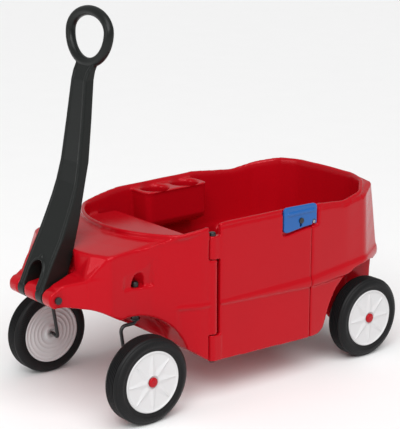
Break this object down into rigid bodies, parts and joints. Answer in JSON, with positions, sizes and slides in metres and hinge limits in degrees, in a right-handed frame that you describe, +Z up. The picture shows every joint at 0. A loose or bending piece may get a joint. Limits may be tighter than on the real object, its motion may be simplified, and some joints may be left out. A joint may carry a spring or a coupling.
{
  "type": "kids pull wagon",
  "caption": "Moulded two-seat pull wagon with a hinged side door, lift latch, pivoting pull handle with a ring grip, steering front wheels and plain rolling rear wheels.",
  "frame": {"origin": "on the ground, in the middle of the overall length and width", "axes": "+X along the wagon towards the rear, -Y towards the door side, +Z up"},
  "size_m": [0.9175, 0.4484, 0.8777],
  "materials": {
    "red_shell": "semi-gloss moulded polyethylene",
    "blue_latch": "semi-gloss moulded plastic",
    "black_handle": "fine grained black plastic",
    "black_cap": "black plastic cap",
    "black_bolt": "black coated steel",
    "painted_rod": "black powder-coated steel rod",
    "rod_steel": "plain zinc-plated steel",
    "screw_steel": "zinc-plated steel",
    "tyre_black": "satin black moulded tyre",
    "white_disc": "white moulded plastic",
    "bush_nylon": "natural nylon",
    "red_cap": "bright red plastic cap"
  },
  "bodies": {
    "tub": {"tub_body": "red_shell", "latch_keeper": "screw_steel", "door_hinge_pin": "rod_steel", "door_hinge_cap": "black_cap", "door_hinge_clip": "black_cap", "handle_pivot_bolt": "black_bolt", "handle_pivot_nut": "black_bolt", "rear_axle": "rod_steel", "front_left_kingpin_bush": "black_cap", "rear_left_axle_fasteners": "screw_steel", "front_right_kingpin_bush": "black_cap", "rear_right_axle_fasteners": "screw_steel"},
    "door": {"side_door": "red_shell", "latch_pivot_screw": "screw_steel"},
    "latch": {"latch_lever": "blue_latch"},
    "handle": {"handle": "black_handle"},
    "front_left_swivel": {"front_left_rod": "painted_rod", "front_left_kingpin_fasteners": "black_cap", "front_left_axle_fasteners": "screw_steel"},
    "front_left_wheel": {"front_left_tyre": "tyre_black", "front_left_outer_hub": "white_disc", "front_left_inner_hub": "white_disc", "front_left_bush": "bush_nylon", "front_left_hub_cap": "red_cap"},
    "rear_left_wheel": {"rear_left_tyre": "tyre_black", "rear_left_outer_hub": "white_disc", "rear_left_inner_hub": "white_disc", "rear_left_bush": "bush_nylon", "rear_left_hub_cap": "red_cap"},
    "front_right_swivel": {"front_right_rod": "painted_rod", "front_right_kingpin_fasteners": "black_cap", "front_right_axle_fasteners": "screw_steel"},
    "front_right_wheel": {"front_right_tyre": "tyre_black", "front_right_outer_hub": "white_disc", "front_right_inner_hub": "white_disc", "front_right_bush": "bush_nylon", "front_right_hub_cap": "red_cap"},
    "rear_right_wheel": {"rear_right_tyre": "tyre_black", "rear_right_outer_hub": "white_disc", "rear_right_inner_hub": "white_disc", "rear_right_bush": "bush_nylon", "rear_right_hub_cap": "red_cap"}
  },
  "joints": [
    {"name": "handle_pitch", "type": "hinge", "parent": "tub", "child": "handle", "pos_m": [-0.43875, 0, 0.276], "axis": [0, -1, 0], "range_deg": [0, 120]},
    {"name": "door_swing", "type": "hinge", "parent": "tub", "child": "door", "pos_m": [-0.10875, -0.193, 0.24], "axis": [0, 0, -1], "range_deg": [0, 100]},
    {"name": "latch_lift", "type": "slide", "parent": "door", "child": "latch", "axis": [0, 0, 1], "range_m": [0, 0.012]},
    {"name": "front_left_steer", "type": "hinge", "parent": "tub", "child": "front_left_swivel", "pos_m": [-0.27675, -0.136, 0.25], "axis": [0, 0, 1], "range_deg": [-20, 20]},
    {"name": "front_right_steer", "type": "hinge", "parent": "tub", "child": "front_right_swivel", "pos_m": [-0.27675, 0.136, 0.25], "axis": [0, 0, 1], "range_deg": [-20, 20]},
    {"name": "front_left_spin", "type": "hinge", "parent": "front_left_swivel", "child": "front_left_wheel", "pos_m": [-0.29275, -0.197, 0.0975], "axis": [0, 1, 0], "continuous": true},
    {"name": "front_right_spin", "type": "hinge", "parent": "front_right_swivel", "child": "front_right_wheel", "pos_m": [-0.29275, 0.197, 0.0975], "axis": [0, 1, 0], "continuous": true},
    {"name": "rear_left_spin", "type": "hinge", "parent": "tub", "child": "rear_left_wheel", "pos_m": [0.36125, -0.197, 0.0975], "axis": [0, 1, 0], "continuous": true},
    {"name": "rear_right_spin", "type": "hinge", "parent": "tub", "child": "rear_right_wheel", "pos_m": [0.36125, 0.197, 0.0975], "axis": [0, 1, 0], "continuous": true}
  ]
}
